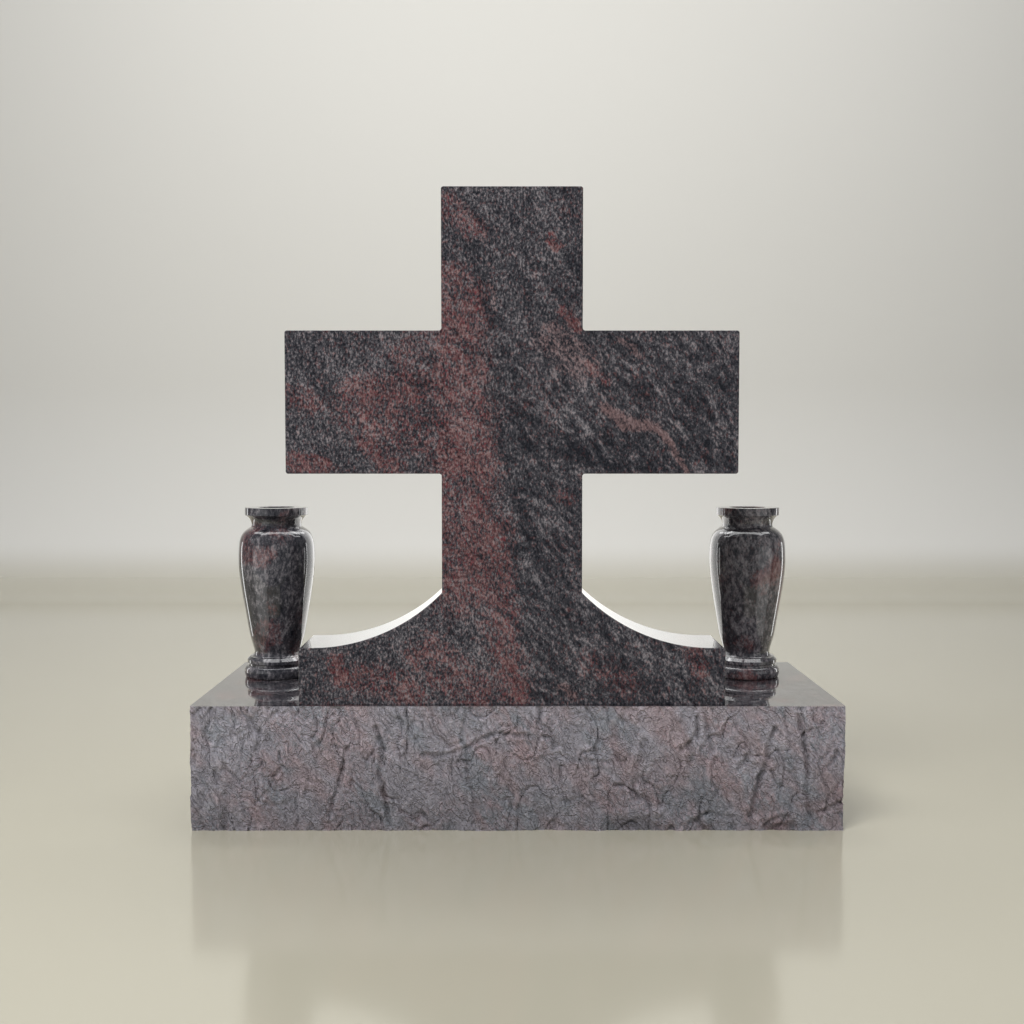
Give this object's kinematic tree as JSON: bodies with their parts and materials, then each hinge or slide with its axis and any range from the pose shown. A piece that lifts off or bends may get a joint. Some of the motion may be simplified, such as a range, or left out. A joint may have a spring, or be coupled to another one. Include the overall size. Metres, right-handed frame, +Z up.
{
  "type": "cross headstone",
  "caption": "Granite memorial: a plain Latin cross with a flared foot standing on a rock-pitched plinth between turned flower vases.",
  "frame": {"origin": "middle of the plinth's underside, on the ground", "axes": "+X along the plinth's width to the right as seen from the front, +Y from the polished front face to the back, +Z up"},
  "size_m": [0.7839, 0.307, 0.7633],
  "materials": {
    "pitched_granite": "rock-pitched sides, polished top",
    "cross_granite": "polished",
    "vase_granite": "polished"
  },
  "bodies": {
    "root": {"plinth": "pitched_granite", "cross": "cross_granite", "left_vase": "vase_granite", "right_vase": "vase_granite"}
  },
  "joints": []
}
